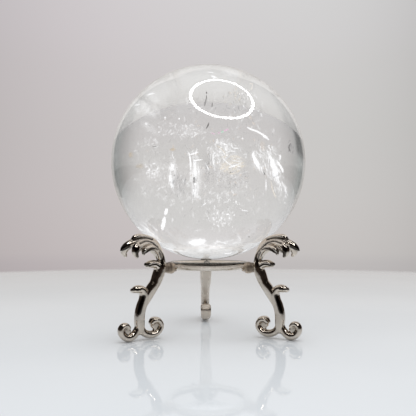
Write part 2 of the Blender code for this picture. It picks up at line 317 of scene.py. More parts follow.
# veins cut into the casting with painted shade along them and, at depth 0, bands of painted shade and dark
# reflection with no cut:
# (depth, half width, darkness, [(radius, height), ...]), mm
GROOVES_AND_PAINTED_SHADE = [
    (0.40, 0.34, 0.95, [(26.07, 37.37), (27.69, 37.75), (29.29, 37.97), (30.87, 37.8),
                        (32.44, 37.45), (33.99, 37.03)]),
    (0.45, 0.38, 0.95, [(23.09, 32.84), (24.33, 34.15), (25.55, 35.22), (26.77, 36.02),
                        (28.38, 36.63), (29.97, 36.77), (31.53, 36.35), (33.08, 35.82)]),
    (0.40, 0.34, 0.95, [(24.76, 33.47), (26.37, 33.86), (27.96, 33.87), (29.33, 33.35),
                        (30.3, 32.53), (30.88, 31.79)]),
    (0.0, 0.50, 0.97, [(21.05, 28.96), (21.39, 29.93), (21.9, 31.09), (22.65, 32.33),
                       (23.15, 32.99)]),
    (0.0, 0.42, 0.80, [(22.43, 26.87), (22.37, 28.6), (22.71, 30.14), (23.38, 31.49),
                       (24.0, 32.3)]),
    (0.0, 1.00, 0.97, [(29.75, 15.9), (30.4, 14.13), (31.0, 11.94), (31.45, 10.4)]),
    (0.0, 0.45, 0.97, [(31.08, 18.77), (32.25, 18.6), (33.41, 18.88)]),
    (0.0, 0.40, 0.97, [(23.54, 27.16), (24.85, 27.87), (26.06, 27.79), (27.26, 27.39),
                       (28.54, 27.8)]),
    (0.0, 0.65, 0.95, [(27.84, 27.84), (28.32, 27.85)]),
    (0.0, 0.45, 0.97, [(30.48, 37.84), (31.66, 37.64), (32.83, 37.37), (34.22, 37.29)]),
    (0.0, 0.85, 0.95, [(35.77, 34.66), (37.09, 33.92), (38.22, 33.67)]),
    (0.0, 1.15, 0.92, [(34.67, 33.5), (34.35, 32.51), (34.11, 31.67)]),
    (0.0, 0.50, 0.88, [(31.22, 33.85), (31.52, 33.1), (31.43, 32.18)]),
    (0.0, 0.42, 0.95, [(26.03, 35.45), (27.24, 36.06), (28.45, 36.48), (29.64, 36.66)]),
    (0.0, 0.38, 0.97, [(26.44, 33.75), (28.03, 33.64), (29.4, 32.9), (30.56, 32.01)]),
    (0.25, 0.30, 0.90, [(23.57, 27.18), (24.59, 27.81), (25.8, 27.99), (27.0, 27.63),
                        (28.19, 27.28)]),
]


def carve_and_paint_shade(co, normals):
    """Presses the veins into both sides of the leg; returns how dark each point is painted as shade and
    dark reflection.
    """
    painted_shade = np.zeros(len(co))
    push = np.zeros(len(co))
    for depth, half, shade_strength, pts in GROOVES_AND_PAINTED_SHADE:
        best = np.full(len(co), 1e9)
        for (r0, z0), (r1, z1) in zip(pts[:-1], pts[1:]):
            dr, dz = r1 - r0, z1 - z0
            t = np.clip(((co[:, 0] - r0) * dr + (co[:, 2] - z0) * dz) / (dr * dr + dz * dz), 0, 1)
            best = np.minimum(best, np.hypot(co[:, 0] - r0 - t * dr, co[:, 2] - z0 - t * dz))
        # veins with depth: cut grooves with painted shade in them
        if depth:
            line = np.exp(-(best / half) ** 2) * np.clip((np.abs(normals[:, 1]) - 0.1) / 0.3, 0, 1)
        # depth 0: painted shade and dark reflection only, no cut
        else:
            outer = np.clip(np.sign(co[:, 1]) * normals[:, 1] / 0.25 + 0.2, 0, 1)
            line = np.clip((half - best) / (0.3 * half), 0, 1)
            line *= np.where(np.abs(co[:, 1]) > 2.0, outer, 1.0)
            if pts[0][1] < 20:
                line *= np.clip((np.abs(normals[:, 1]) - 0.25) / 0.2, 0, 1)
        push = np.maximum(push, depth * line)
        # painted shade: how dark the point is painted
        painted_shade = np.maximum(painted_shade, shade_strength * line)
    return co - normals * push[:, None], painted_shade


def leg_mesh():
    bars = [
        sweep(LOWER, 3.2, power_end=2.2), sweep(UPPER, 3.2, power_end=2.4),
        sweep(BUD, 2.2), sweep(INNER, 2.4), sweep(OUTER, 2.4),
        sweep(INNER_EYE, 4.0), sweep(OUTER_EYE, 4.0),
        sweep(CREST, 2.0), sweep(TIP, 2.0),
        sweep(SIDE, 2.0), sweep(mirrored(SIDE), 2.0),
        sweep(LOW, 2.0), sweep(mirrored(LOW), 2.0),
    ]
    v, f = join(bars)
    leg = mesh_object("leg_work", v, f)
    m = leg.modifiers.new("fuse", "REMESH")
    m.mode = "VOXEL"
    m.voxel_size = 0.17
    m = leg.modifiers.new("relax", "SMOOTH")
    m.factor = 0.5
    m.iterations = 3
    apply_all(leg)
    n = len(leg.data.vertices)
    co = np.zeros(n * 3)
    leg.data.vertices.foreach_get("co", co)
    normals = np.zeros(n * 3)
    leg.data.vertices.foreach_get("normal", normals)
    co, painted_shade = carve_and_paint_shade(co.reshape(-1, 3), normals.reshape(-1, 3))
    # painted shade and dark reflection, kept as a vertex attribute
    a = leg.data.attributes.new("painted_shade", "FLOAT", "POINT")
    a.data.foreach_set("value", painted_shade)
    inner = np.clip((-normals.reshape(-1, 3)[:, 0] - 0.6) / 0.25, 0, 1)
    inner *= np.clip((co[:, 2] - 8.0) / 2.0, 0, 1) * np.clip((27.0 - co[:, 2]) / 2.0, 0, 1)
    rim = np.clip((-normals.reshape(-1, 3)[:, 0] - 0.35) / 0.25, 0, 1)
    rim *= np.clip((24.2 - co[:, 0]) / 0.8, 0, 1) * np.clip((8.2 - co[:, 2]) / 0.5, 0, 1)
    rim *= 1 - 0.85 * np.exp(-((co[:, 2] - 5.7) / 0.55) ** 2)
    inner = np.maximum(inner, 0.9 * rim)
    a = leg.data.attributes.new("inner", "FLOAT", "POINT")
    a.data.foreach_set("value", inner)
    co[:, 2] = np.maximum(co[:, 2], 0.0)
    # keep the leaf clear of the ball
    c = np.array(BALL_C) / MM
    d = co - c
    r = np.linalg.norm(d, axis=1)
    near = r < BALL_R / MM + 0.12
    co[near] = c + d[near] / r[near][:, None] * (BALL_R / MM + 0.12)
    leg.data.vertices.foreach_set("co", (co * MM).ravel())
    leg.data.update()
    leg.data.polygons.foreach_set("use_smooth", [True] * len(leg.data.polygons))
    return leg


# --------------------------------------------------------------------- materials
def metal(name, base=(0.66, 0.595, 0.525), rough=0.07, wavy=0.15, tarnish=0.6, dark=None,
          satin=None, dark_tone=(0.010, 0.008, 0.006, 1)):
    mat, N, bsdf = new_material(name)
    geo = N.new("ShaderNodeNewGeometry")
    tex = N.new("ShaderNodeTexCoord")
    pos = tex.outputs["Object"]
    blotch = N.noise(pos, 180.0, 4.0, 0.6)
    fine = N.noise(pos, 1400.0, 3.0, 0.6)
    crev = N.ramp(geo.outputs["Pointiness"], 0.47, 0.505, 1.0, 0.0)
    worn = N.ramp(geo.outputs["Pointiness"], 0.51, 0.56, 0.0, 1.0)
    colour = N.mix(N.ramp(blotch, 0.35, 0.7), (base[0] * 0.93, base[1] * 0.91, base[2] * 0.88, 1),
                   (base[0] * 1.03, base[1] * 1.03, base[2] * 1.03, 1))
    colour = N.mix(N.math("MULTIPLY", crev, tarnish), colour,
                   (base[0] * 0.35, base[1] * 0.30, base[2] * 0.25, 1))
    colour = N.mix(N.math("MULTIPLY", worn, 0.35), colour, (0.80, 0.78, 0.75, 1))
    if name == "plated_casting":
        # painted shade and dark reflection from the leg's vertex attribute, mixed towards near black
        shade_attr = N.new("ShaderNodeAttribute", attribute_name="painted_shade")
        colour = N.mix(shade_attr.outputs["Fac"], colour, (0.030, 0.024, 0.019, 1))
    if dark:
        # painted shade and dark reflection from the dark mask, mixed towards dark_tone
        shade_mask = N.math("MULTIPLY", dark(N, geo, pos), N.ramp(blotch, 0.3, 0.7, 0.85, 1.0))
        colour = N.mix(shade_mask, colour, dark_tone)
    N.wire(colour, bsdf.inputs["Base Color"])
    r = N.math("ADD", N.ramp(blotch, 0.3, 0.75, rough * 0.75, rough * 1.5),
               N.math("MULTIPLY", crev, 0.15))
    bsdf.inputs["Metallic"].default_value = 1.0
    if satin:
        band = satin(N, geo, pos)
        r = N.math("ADD", r, N.math("MULTIPLY", band, 0.25))
        N.wire(N.math("SUBTRACT", 1.0, N.math("MULTIPLY", band, 0.8)), bsdf.inputs["Metallic"])
    N.wire(r, bsdf.inputs["Roughness"])
    b1 = N.new("ShaderNodeBump")
    b1.inputs["Strength"].default_value = wavy
    b1.inputs["Distance"].default_value = 0.0004
    N.wire(N.noise(pos, 420.0, 2.0, 0.5), b1.inputs["Height"])
    b2 = N.new("ShaderNodeBump")
    b2.inputs["Strength"].default_value = 0.04
    b2.inputs["Distance"].default_value = 0.00005
    N.wire(fine, b2.inputs["Height"])
    N.wire(b1.outputs["Normal"], b2.inputs["Normal"])
    N.wire(b2.outputs["Normal"], bsdf.inputs["Normal"])
    return mat


# ------------------------------------------------------------------------- pieces


def leg_satin(N, geo, pos):
    """A duller finish on the faces turned to the middle of the stand, chosen for the look."""
    inner = N.new("ShaderNodeAttribute", attribute_name="inner")
    return inner.outputs["Fac"]


cast = metal("plated_casting", satin=leg_satin)
leg_work = leg_mesh()
for where, az in LEG_AZ.items():
    leg = link(bpy.data.objects.new("leg_" + where + "_casting", leg_work.data.copy()))
    leg.data.transform(Matrix.Rotation(math.radians(az), 4, "Z"))
    leg.data.materials.clear()
    leg.data.materials.append(cast)
    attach(leg, "stand")
    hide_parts("leg_" + where)
bpy.data.objects.remove(leg_work, do_unlink=True)

# ring
bpy.ops.mesh.primitive_torus_add(major_radius=RING_R, minor_radius=WIRE_R, major_segments=192,
                                 minor_segments=48, location=(0, 0, RING_Z))
ring = bpy.context.active_object
ring.name = "wire_ring"
bpy.context.view_layer.update()
ring.data.transform(ring.matrix_world)
ring.matrix_world = Matrix.Identity(4)
ring.data.polygons.foreach_set("use_smooth", [True] * len(ring.data.polygons))


def ring_dark(N, geo, pos):
    """Painted dark reflection: a dark band on the wire's upper outer side, thinner to the sides,
    for rays straight from the camera only."""
    up = N.new("ShaderNodeSeparateXYZ")
    N.wire(geo.outputs["Normal"], up.inputs[0])
    p = N.new("ShaderNodeSeparateXYZ")
    N.wire(pos, p.inputs[0])
    out = N.math("ADD", N.math("MULTIPLY", p.outputs[0], up.outputs[0]),
                 N.math("MULTIPLY", p.outputs[1], up.outputs[1]))
    seen = N.new("ShaderNodeLightPath")
    side = N.math("DIVIDE", p.outputs[0], RING_R)
    tilt = N.math("SUBTRACT", up.outputs[2], N.math("MULTIPLY", N.math("MULTIPLY", side, side), 0.55))
    return N.math("MULTIPLY", N.math("MULTIPLY", N.ramp(tilt, 0.10, 0.34, 0.0, 0.99),
                                     N.ramp(out, -0.010, -0.004, 0.0, 1.0)),
                  seen.outputs["Is Camera Ray"])


def ring_satin(N, geo, pos):
    up = N.new("ShaderNodeSeparateXYZ")
    N.wire(geo.outputs["Normal"], up.inputs[0])
    p = N.new("ShaderNodeSeparateXYZ")
    N.wire(pos, p.inputs[0])
    out = N.math("ADD", N.math("MULTIPLY", p.outputs[0], up.outputs[0]),
                 N.math("MULTIPLY", p.outputs[1], up.outputs[1]))
    seen = N.new("ShaderNodeLightPath")
    both = N.math("MAXIMUM", N.ramp(N.math("ABSOLUTE", up.outputs[2]), 0.2, 0.5, 0.8, 0.0),
                  N.ramp(out, -0.002, -0.007, 0.0, 1.0))
    mirrored_ray = N.math("MULTIPLY", seen.outputs["Is Glossy Ray"],
                          N.math("SUBTRACT", 1.0, seen.outputs["Is Transmission Ray"]))
    return N.math("MULTIPLY", both, N.math("SUBTRACT", 1.0, mirrored_ray))


ring.data.materials.append(metal("plated_ring", wavy=0.05, dark=ring_dark, satin=ring_satin))
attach(ring, "stand")
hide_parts("support_ring")



def collar_dark(N, geo, pos):
    """Painted shade and dark reflection next to the leg and on the upward faces, broken by streaks; clean
    on the lower lip.
    """
    p = N.new("ShaderNodeSeparateXYZ")
    N.wire(pos, p.inputs[0])
    up = N.new("ShaderNodeSeparateXYZ")
    N.wire(geo.outputs["Normal"], up.inputs[0])
    out = N.math("SQRT", N.math("ADD", N.math("MULTIPLY", p.outputs[0], p.outputs[0]),
                                N.math("MULTIPLY", p.outputs[1], p.outputs[1])))
    streak = N.noise(N.times(pos, (1, 1, 0.15)), 900.0, 2.0)
    far = N.math("ADD", N.ramp(out, 0.0174, 0.0188, 0.22, 0.78), N.ramp(streak, 0.35, 0.65, 0.0, 0.3))
    low = N.ramp(p.outputs[2], 0.0240, 0.0256)
    return N.math("MULTIPLY", N.math("MAXIMUM", far, N.ramp(up.outputs[2], 0.3, 0.8, 0.0, 0.8)), low)


def collar_satin(N, geo, pos):
    return N.ramp(N.noise(pos, 300.0, 2.0), 0.3, 0.7, 0.65, 0.85)


soft = metal("plated_collar", base=(0.58, 0.48, 0.38), rough=0.14, wavy=0.1, dark=collar_dark,
             satin=collar_satin, dark_tone=(0.060, 0.040, 0.026, 1))
ZC = RING_Z / MM - 0.55
COLLAR = [(16.35, ZC, 0, 1.75, 1.9), (16.9, ZC, 0, 2.15, 2.35), (17.6, ZC - 0.05, 0, 2.3, 2.6),
          (18.5, ZC - 0.05, 0, 2.2, 2.55), (19.3, ZC, 0, 2.0, 2.35), (19.9, ZC, 0, 1.9, 2.2)]
v, f = sweep(COLLAR, 2.4, steps=10, sides=96)
collar = mesh_object("collar_work", v * MM, f)
for where, turn in LEG_AZ.items():
    piece = link(bpy.data.objects.new("collar_" + where + "_cast", collar.data.copy()))
    piece.data.transform(Matrix.Rotation(math.radians(turn), 4, "Z"))
    piece.data.materials.append(soft)
    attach(piece, "stand")
    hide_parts("collar_" + where)
bpy.data.objects.remove(collar, do_unlink=True)

steel = metal("screw_steel", base=(0.60, 0.58, 0.55), rough=0.22, wavy=0.05)
for where in LEG_AZ:
    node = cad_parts["screw_" + where]
    node.data.materials.clear()
    node.data.materials.append(steel)

# ball
bpy.ops.mesh.primitive_uv_sphere_add(segments=256, ring_count=128, radius=BALL_R, location=BALL_C)
ball = bpy.context.active_object
ball.name = "quartz_sphere"
bpy.context.view_layer.update()
ball.data.transform(ball.matrix_world)
ball.matrix_world = Matrix.Identity(4)
ball.data.polygons.foreach_set("use_smooth", [True] * len(ball.data.polygons))
mat, N, bsdf = new_material("clear_quartz")
bsdf.inputs["Base Color"].default_value = (0.985, 0.985, 0.985, 1)
bsdf.inputs["Roughness"].default_value = 0.0
bsdf.inputs["Transmission Weight"].default_value = 1.0
bsdf.inputs["IOR"].default_value = 1.544
lp = N.new("ShaderNodeLightPath")
clear = N.new("ShaderNodeBsdfTransparent")
clear.inputs["Color"].default_value = (0.93, 0.93, 0.93, 1)
mixs = N.new("ShaderNodeMixShader")
pass_through = N.math("MAXIMUM", lp.outputs["Is Shadow Ray"], lp.outputs["Is Diffuse Ray"])
N.wire(pass_through, mixs.inputs[0])
N.wire(bsdf.outputs[0], mixs.inputs[1])
N.wire(clear.outputs[0], mixs.inputs[2])
out = [n for n in mat.node_tree.nodes if n.type == "OUTPUT_MATERIAL"][0]
N.wire(mixs.outputs[0], out.inputs["Surface"])
ball.data.materials.append(mat)
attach(ball, "ball")
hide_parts("crystal_ball")

# ---------------------------------------------------------- what is inside the quartz
# colours the inclusions glow with, their light painted in; WHITE is brighter than white
WHITE, CREAM, DARK = (1.18, 1.18, 1.19, 1), srgb(236, 226, 210), srgb(70, 66, 64)
PINK, GREEN, LILAC = srgb(240, 200, 225), srgb(185, 240, 210), srgb(205, 210, 240)
TAN, PEACH, GREY = srgb(198, 176, 140), srgb(236, 216, 196), srgb(150, 149, 150)
ACROSS = Vector((math.cos(CAM_AZ), math.sin(CAM_AZ), 0))


def inside(x, z, depth):
    """The point in the ball that shows at (x, z) mm from its centre from the front;
    depth runs from 0 at the near surface to 1 at the far one."""
    o = EYE - BALL_C
    while True:
        d = (ACROSS * x * MM + Vector((0, 0, z * MM)) - o).normalized()
        b = o.dot(d)
        disc = b * b - o.length_squared + (BALL_R * 0.99) ** 2
        if disc > 1e-7:
            break
        x, z = x * 0.985, z * 0.985
    p = o + d * (-b - math.sqrt(disc))
    n = p.normalized()
    c = -d.dot(n)
    k = 1 / 1.544
    d = (d * k + n * (k * c - math.sqrt(1 - k * k * (1 - c * c)))).normalized()
    return BALL_C + p + d * (-2 * p.dot(d) * depth)


# (colour, strength, depth, [(across, up, half width), ...]), mm as seen from the front
STREAKS = [
    (WHITE, 1, 0.42, [(16.4, 15.9, 0.26), (18.5, 14.8, 0.51), (20.7, 14, 0.55),
            (22.8, 12.7, 0.47), (24.5, 11.4, 0.55), (25.7, 10.3, 0.3)]),
    (WHITE, 0.85, 0.3, [(-17.4, -18.8, 0.52), (-17.7, -20.3, 0.66), (-17.9, -21.4, 0.40)]),
    (WHITE, 0.8, 0.3, [(-18.1, -22.2, 0.60), (-18.6, -24.5, 0.95), (-18.9, -26.6, 0.75),
            (-19, -28, 0.33)]),
    (WHITE, 0.8, 0.35, [(19.3, 5.4, 0.30), (18.9, 4.1, 0.50), (19.5, 2.6, 0.62), (20.5, 0.4, 0.85),
            (21.1, -1.3, 0.50), (21.8, -3, 0.22)]),
    (WHITE, 0.62, 0.4, [(25.2, 5.6, 0.36), (25.8, 3.4, 0.60), (26.9, 1.3, 0.75),
            (27.7, -0.9, 0.95), (28.1, -3.4, 1.30), (27.8, -5.5, 0.70)]),
    (WHITE, 1, 0.38, [(28.6, 1.7, 0.25), (29.8, -0, 0.46), (31, -2.1, 0.46), (31.4, -3.8, 0.21)]),
    (WHITE, 0.20, 0.5, [(24.3, -6.4, 0.34), (24.2, -8.9, 0.38), (24.2, -11.5, 0.25)]),
    (WHITE, 0.32, 0.45, [(32.2, -8.9, 0.25), (32.3, -10.6, 0.38), (32.4, -12.7, 0.21)]),
    (WHITE, 0.25, 0.45, [(31.9, -16.1, 0.38), (32, -17, 0.29)]),
    (CREAM, 0.35, 0.5, [(26.3, -7.2, 0.25), (27.1, -11.1, 0.29), (28.4, -14.4, 0.25)]),
    (WHITE, 0.7, 0.55, [(-8, -33, 0.62), (-6.4, -33.2, 1.35), (-4.7, -33.4, 1.87),
            (-3.1, -32.8, 1.66), (-1.4, -32.2, 1.04)]),
    (WHITE, 1, 0.06, [(-29.7, -26, 0.38), (-28.5, -27, 0.58), (-27.2, -28, 0.33)]),
    (WHITE, 0.45, 0.1, [(-28.1, -24.9, 0.24), (-26, -26.8, 0.34), (-23.5, -29.1, 0.38),
            (-20.9, -31.6, 0.36), (-18.8, -34.1, 0.30)]),
    (WHITE, 0.5, 0.14, [(-24.3, -28.2, 0.25), (-21.4, -30.3, 0.33), (-19.3, -32.4, 0.25)]),
    (WHITE, 0.8, 0.1, [(-18.8, -34.5, 0.42), (-15.9, -35.4, 0.58), (-12.6, -36.1, 0.58),
            (-9.3, -36.3, 0.33)]),
    (WHITE, 0.6, 0.4, [(-8.6, 5.4, 0.25), (-7.8, 3.4, 0.38), (-7.5, 0.4, 0.38),
            (-7.4, -2.6, 0.25)]),
    (WHITE, 0.65, 0.4, [(-7.8, 3.9, 0.3), (-6.1, 4.5, 0.47), (-4.2, 5.1, 0.25)]),
    (WHITE, 0.65, 0.42, [(-6.5, 1.3, 0.34), (-4.4, 1.7, 0.42), (-2.3, 1.9, 0.25)]),
    (WHITE, 0.42, 0.45, [(-6.1, 1.7, 0.42), (-5.6, -1.7, 0.62), (-5.4, -4.3, 0.80),
            (-5.2, -7.2, 0.42)]),
    (WHITE, 0.85, 0.4, [(-5.6, -3.6, 0.66), (-5.4, -5.1, 0.74)]),
    (WHITE, 0.95, 0.4, [(-5.6, -8.1, 0.5), (-5.4, -9.1, 0.5)]),
    (WHITE, 0.26, 0.45, [(-6.4, -10.2, 0.30), (-6.2, -13.6, 0.42)]),
    (WHITE, 0.26, 0.5, [(-4.8, -11.9, 0.30), (-4.1, -14.9, 0.34)]),
    (WHITE, 0.62, 0.4, [(-15.1, 0.2, 0.45), (-15.1, -3, 0.63)]),
    (WHITE, 0.85, 0.35, [(-16.1, -4.6, 0.60), (-15.9, -7.4, 0.72)]),
    (WHITE, 0.45, 0.4, [(-15.5, -8.1, 0.76), (-14.8, -10.2, 0.42)]),
    (WHITE, 1, 0.3, [(-12.7, 19.5, 0.51), (-12.1, 19.5, 0.51)]),
    (WHITE, 0.55, 0.3, [(-18.7, 20.1, 0.55), (-18, 19.8, 0.51)]),
    (WHITE, 0.5, 0.3, [(-26.7, 17.5, 0.51), (-25.9, 17.1, 0.43)]),
    (WHITE, 0.45, 0.4, [(-9.9, 16.1, 0.51), (-8.7, 16.3, 0.43)]),
    (WHITE, 0.9, 0.12, [(-30.9, 25.2, 0.47), (-30, 25.5, 0.47), (-28.8, 25.9, 0.3)]),
    (WHITE, 1, 0.1, [(-25.8, 29.7, 0.39), (-24.3, 30.2, 0.51), (-23, 30.5, 0.34)]),
    (WHITE, 0.9, 0.4, [(5.3, 9, 0.55), (6, 9, 0.47)]),
    (WHITE, 0.8, 0.35, [(3.7, 0.7, 0.51), (4.2, 0.6, 0.51)]),
    (WHITE, 0.8, 0.25, [(13.1, 30.3, 0.43), (13.4, 30.1, 0.34)]),
    (WHITE, 0.9, 0.25, [(14.2, 30.6, 0.47), (14.7, 30.2, 0.43)]),
    (WHITE, 1, 0.15, [(-0.2, 39.8, 0.47), (2, 39.5, 0.52)]),
    (WHITE, 1, 0.18, [(1.4, 38.2, 0.52), (2.4, 37.7, 0.69), (3.3, 37.1, 0.47)]),
    (WHITE, 0.45, 0.35, [(14.4, 11.4, 0.42), (14.7, 10.5, 0.38)]),
    (WHITE, 0.32, 0.3, [(22.3, 22, 0.34), (22.7, 20.3, 0.38)]),
    (WHITE, 0.45, 0.3, [(21.4, 23.1, 0.38), (21.3, 22.5, 0.34)]),
    (WHITE, 0.40, 0.35, [(-23.9, -4.3, 0.50), (-22.5, -4.1, 0.51)]),
    (WHITE, 0.5, 0.35, [(-24.6, -1.7, 0.42), (-25, -3.2, 0.34)]),
    (WHITE, 0.6, 0.35, [(2.1, -22.4, 0.38), (2.3, -23.7, 0.38)]),
    (WHITE, 0.7, 0.4, [(5.4, -22.4, 0.42), (5.5, -23.2, 0.38)]),
    (WHITE, 0.8, 0.35, [(7.4, -21.3, 0.42), (8.6, -21.2, 0.42)]),
    (WHITE, 0.6, 0.38, [(8.5, -22.7, 0.38), (8.9, -23.2, 0.33)]),
    (WHITE, 0.35, 0.4, [(11.5, -15.7, 0.38), (11.7, -17, 0.38)]),
    (WHITE, 1, 0.10, [(6.3, -37.2, 0.32), (7.3, -37.3, 0.5), (8.6, -37.4, 0.45),
            (9.8, -36.8, 0.3)]),
    (WHITE, 1, 0.10, [(13.9, -36.5, 0.32), (15.0, -36.2, 0.45), (16.0, -35.6, 0.28)]),
    (WHITE, 0.6, 0.4, [(25.6, 8.1, 0.38), (25.8, 7.5, 0.34)]),
    (WHITE, 0.6, 0.35, [(30.3, 3.9, 0.38), (30.3, 1.7, 0.3)]),
    (WHITE, 0.5, 0.35, [(-2.4, -17.6, 0.29), (-1, -16.5, 0.29)]),
    (WHITE, 0.4, 0.35, [(13.7, -19.5, 0.25), (16.6, -19.9, 0.25)]),
    (WHITE, 0.65, 0.4, [(8.3, -1.7, 0.21), (10.4, -0.9, 0.38), (13.4, -0, 0.21)]),
    (WHITE, 0.5, 0.42, [(5.8, 2.6, 0.21), (8.3, 0.4, 0.3), (10.8, -1.3, 0.21)]),
    (CREAM, 0.4, 0.45, [(3.2, 8.1, 0.25), (5.8, 6.4, 0.3), (7.5, 3.9, 0.21)]),
    (WHITE, 0.45, 0.4, [(7.5, 4.7, 0.21), (9.6, 5.6, 0.3), (11.7, 5.1, 0.21)]),
    (WHITE, 0.55, 0.35, [(9.8, 9, 0.19), (10.2, 7.1, 0.23), (11.7, 6.7, 0.23),
            (13.4, 6.9, 0.19)]),
    (WHITE, 0.45, 0.45, [(2.4, 5.1, 0.3), (2, 1.7, 0.38), (2.8, -1.7, 0.25)]),
    (WHITE, 0.4, 0.4, [(8.7, 2.1, 0.25), (11.7, 1.3, 0.3), (13.8, 0.9, 0.21)]),
    (WHITE, 0.5, 0.42, [(-1.4, 0.4, 0.25), (0.3, -2.6, 0.34)]),
    (PINK, 0.6, 0.35, [(3.9, 13.2, 0.3), (5.4, 13.6, 0.38)]),
    (GREEN, 0.7, 0.35, [(5.2, 13.5, 0.3), (6.6, 14.1, 0.42)]),
    (PINK, 0.6, 0.35, [(6.4, 14, 0.34), (8.6, 15.1, 0.34)]),
    (PINK, 0.35, 0.35, [(1.1, 13.5, 0.3), (2.8, 12.7, 0.34)]),
    (DARK, 0.55, 0.3, [(-0.8, 31.3, 0.34), (-0.7, 30.3, 0.39)]),
    (DARK, 0.45, 0.3, [(-0.7, 29.9, 0.19), (-0.9, 28.1, 0.21), (-1.4, 26.2, 0.34),
            (-1.6, 24.9, 0.19)]),
    (DARK, 0.55, 0.3, [(1.7, 26.5, 0.21), (1.6, 24.6, 0.28)]),
    (DARK, 0.55, 0.35, [(0.3, 17.9, 0.21), (-0.4, 16.1, 0.36), (-1, 15.1, 0.19)]),
    (DARK, 0.45, 0.35, [(-23.5, 7.4, 0.25), (-21.7, 7.6, 0.21)]),
    (DARK, 0.4, 0.4, [(16.7, -30.3, 0.33), (17, -30.7, 0.33)]),
    (DARK, 0.5, 0.3, [(23.2, -3.2, 0.21), (23.8, -4.7, 0.29)]),
    (DARK, 0.45, 0.25, [(34.8, 8.8, 0.21), (34.1, 7.7, 0.25), (34, 6.4, 0.25),
            (34.4, 5.4, 0.19)]),
    (DARK, 0.3, 0.4, [(-6, -5.5, 0.38), (-5.9, -8.1, 0.46)]),
    (DARK, 0.3, 0.35, [(-14.4, -4.5, 0.29), (-14, -5.1, 0.29)]),
]
# (colour, strength, depth, across, up, half width, half height, tilt, mottling)
CLOUDS = [
    (TAN, 0.80, 0.35, -15.0, 6.2, 1.7, 0.8, -8, 0.3),
    (TAN, 0.65, 0.3, -32.5, 3.9, 1.3, 1.5, 0, 0.3),
    (TAN, 0.45, 0.3, -28.8, -0.9, 2.1, 1.3, 0, 0.4),
    (PEACH, 0.5, 0.4, 23.1, 7.7, 1.3, 2.5, -10, 0.4),
    (PEACH, 0.2, 0.4, -26.0, 5.6, 1.1, 0.8, 0, 0.3),
    (GREY, 0.20, 0.4, -12.3, -8.5, 3.4, 5.9, 0, 0.5),
    (WHITE, 0.22, 0.45, -15.1, -3.4, 2.5, 8.0, 0, 0.7),
    (WHITE, 0.34, 0.5, -5.4, -5.1, 2.9, 11.8, -3, 0.8),
    (WHITE, 0.20, 0.5, 7.9, 3.4, 8.9, 7.6, 0, 0.8),
    (CREAM, 0.30, 0.45, 10.4, -0.4, 6.3, 3.8, -15, 0.8),
    (WHITE, 0.30, 0.42, 27.3, -0.9, 3.8, 8.9, -18, 0.8),
    (WHITE, 0.24, 0.4, 20.5, 1.3, 3.0, 5.5, -18, 0.8),
    (WHITE, 0.16, 0.5, 5.3, -22.8, 6.3, 3.8, 0, 0.8),
    (WHITE, 0.50, 0.6, 2.3, -36.0, 14.9, 2.4, 0, 0.75),
    (WHITE, 0.60, 0.5, -4.7, -33.2, 5.2, 2.6, 0, 0.35),
    (WHITE, 0.24, 0.12, -24.0, -29.6, 5.8, 2.2, 45, 0.7),
    (WHITE, 0.35, 0.15, -12.6, -35.7, 7.1, 1.9, 12, 0.6),
    (WHITE, 0.22, 0.2, -24.6, 15.2, 6.0, 2.0, 40, 0.7),
    (WHITE, 0.12, 0.35, -8.2, 14.6, 6.4, 2.5, 10, 0.8),
    (WHITE, 0.12, 0.35, -23.7, -2.6, 5.1, 6.3, 0, 0.8),
    (WHITE, 0.3, 0.12, 10.2, 39.2, 5.6, 1.9, 8, 0.5),
    (WHITE, 0.14, 0.3, 30.9, -10.2, 2.5, 7.1, -8, 0.7),
    (WHITE, 0.30, 0.12, -29.0, 24.6, 5.0, 3.2, 60, 0.7),
    (WHITE, 0.25, 0.15, -24.0, 29.0, 5.2, 2.6, 30, 0.7),
    (WHITE, 0.30, 0.15, -24.6, 23.2, 5.4, 3.4, 30, 0.7),
    (LILAC, 0.3, 0.4, 28.1, -4.7, 1.5, 1.5, 0, 0.3),
    (GREY, 0.22, 0.35, -1.0, -0.9, 2.1, 6.3, 0, 0.5),
]


